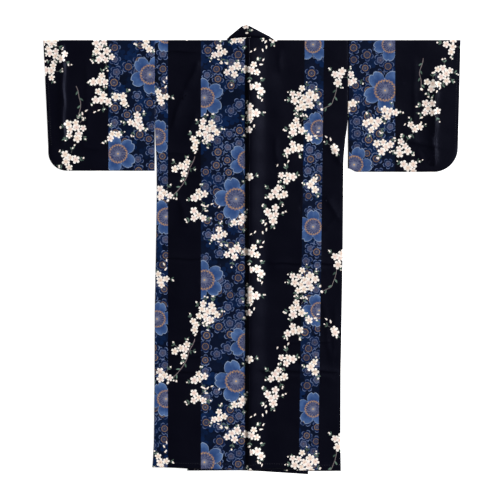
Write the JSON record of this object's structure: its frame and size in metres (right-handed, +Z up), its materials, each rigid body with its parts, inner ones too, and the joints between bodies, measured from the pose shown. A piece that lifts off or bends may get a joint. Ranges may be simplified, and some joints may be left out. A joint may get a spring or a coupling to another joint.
{
  "type": "cotton yukata robe",
  "caption": "Unlined printed cotton robe laid flat on its front, with square sleeves, overlapping fronts and a long banded collar.",
  "frame": {"origin": "middle of the robe as it lies, on the surface that it lies on", "axes": "+Z up from that surface, out of the robe's back; +Y along the centre back seam towards the collar; +X towards the wearer's right sleeve"},
  "size_m": [1.3472, 1.452, 0.0173],
  "materials": {
    "printed_cotton": "matte plain-weave cotton, near-black ground with navy stripes and pale blossom print"
  },
  "bodies": {
    "root": {"body_left": "printed_cotton", "body_right": "printed_cotton", "overlap_left": "printed_cotton", "overlap_right": "printed_cotton", "collar": "printed_cotton", "sleeve_left": "printed_cotton", "sleeve_right": "printed_cotton"}
  },
  "joints": []
}
